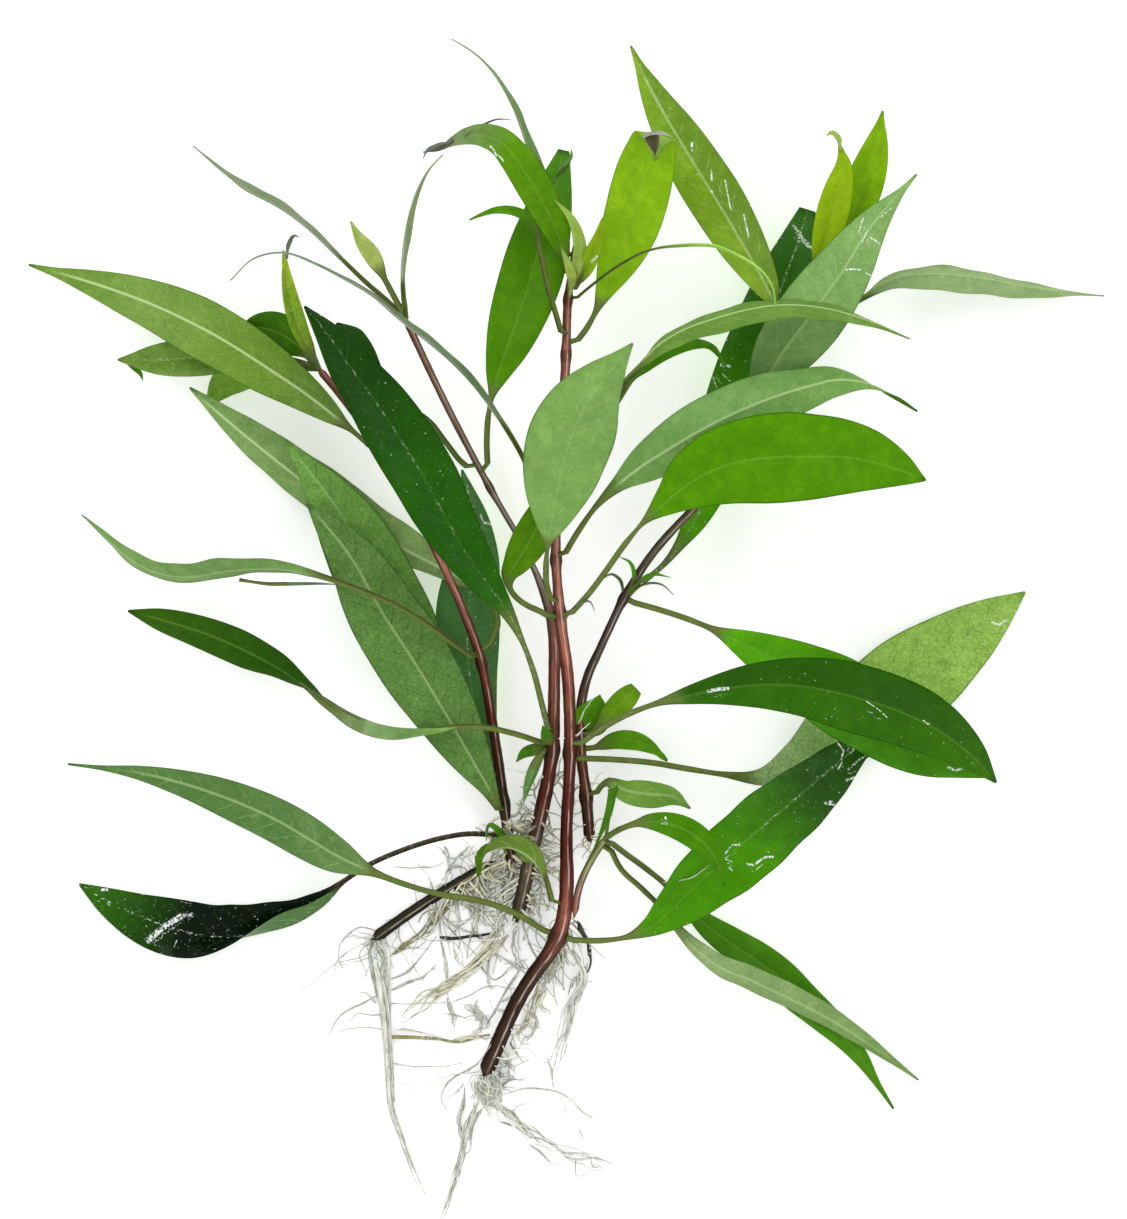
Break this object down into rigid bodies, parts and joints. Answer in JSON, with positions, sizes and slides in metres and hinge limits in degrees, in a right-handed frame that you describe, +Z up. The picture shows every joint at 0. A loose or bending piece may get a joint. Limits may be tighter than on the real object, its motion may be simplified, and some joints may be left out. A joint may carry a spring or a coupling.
{
  "type": "bare-root aquarium plant",
  "caption": "Leafy bare-root stem plant lying on its side, with lance-shaped leaves in pairs, reddish stems and a tuft of pale roots.",
  "frame": {"origin": "on the surface that the plant lies on, below the middle of its bounding box", "axes": "+Y along the stems from the roots to the shoot tips, +X to the right of that seen from above, +Z up from the surface"},
  "size_m": [0.2689, 0.2948, 0.0591],
  "materials": {
    "leaf_dark": "satin",
    "leaf_bright": "satin",
    "leaf_young": "satin",
    "leaf_pale": "satin",
    "stem_red": "satin",
    "rhizome_bark": "matte",
    "root_white": "satin"
  },
  "bodies": {
    "root": {"front_stem": "stem_red", "back_stem": "stem_red", "left_stem": "stem_red", "right_stem": "stem_red", "side_shoot": "stem_red", "rhizome": "rhizome_bark", "root_bundle_left": "root_white", "root_bundle_middle": "root_white", "root_bundle_right": "root_white", "root_bundle_centre": "root_white", "root_tuft_front": "root_white", "front_stem_leaf_1": "leaf_pale", "front_stem_leaf_2": "leaf_bright", "front_stem_leaf_3": "leaf_bright", "front_stem_leaf_4": "leaf_dark", "front_stem_leaf_5": "leaf_pale", "front_stem_leaf_6": "leaf_bright", "front_stem_leaf_7": "leaf_pale", "front_stem_leaf_8": "leaf_pale", "front_stem_leaf_9": "leaf_bright", "front_stem_leaf_10": "leaf_bright", "front_stem_leaf_11": "leaf_pale", "front_stem_leaf_12": "leaf_bright", "front_stem_leaf_13": "leaf_bright", "front_stem_leaf_14": "leaf_bright", "front_stem_leaf_15": "leaf_pale", "front_stem_leaf_16": "leaf_young", "front_stem_leaf_17": "leaf_bright", "front_stem_leaf_18": "leaf_bright", "back_stem_leaf_1": "leaf_dark", "back_stem_leaf_2": "leaf_dark", "back_stem_leaf_3": "leaf_bright", "back_stem_leaf_4": "leaf_dark", "back_stem_leaf_5": "leaf_pale", "back_stem_leaf_6": "leaf_young", "back_stem_leaf_7": "leaf_pale", "left_stem_leaf_1": "leaf_dark", "left_stem_leaf_2": "leaf_pale", "left_stem_leaf_3": "leaf_pale", "left_stem_leaf_4": "leaf_dark", "left_stem_leaf_5": "leaf_pale", "left_stem_leaf_6": "leaf_pale", "left_stem_leaf_7": "leaf_pale", "left_stem_leaf_8": "leaf_young", "left_stem_leaf_9": "leaf_dark", "left_stem_leaf_10": "leaf_young", "left_stem_leaf_11": "leaf_young", "right_stem_leaf_1": "leaf_pale", "right_stem_leaf_2": "leaf_bright", "right_stem_leaf_3": "leaf_bright", "right_stem_leaf_4": "leaf_dark", "right_stem_leaf_5": "leaf_pale", "right_stem_leaf_6": "leaf_pale", "right_stem_leaf_7": "leaf_bright", "right_stem_leaf_8": "leaf_young", "right_stem_leaf_9": "leaf_young", "right_stem_leaf_10": "leaf_young", "side_shoot_leaf_1": "leaf_bright", "side_shoot_leaf_2": "leaf_pale", "side_shoot_leaf_3": "leaf_bright"}
  },
  "joints": []
}
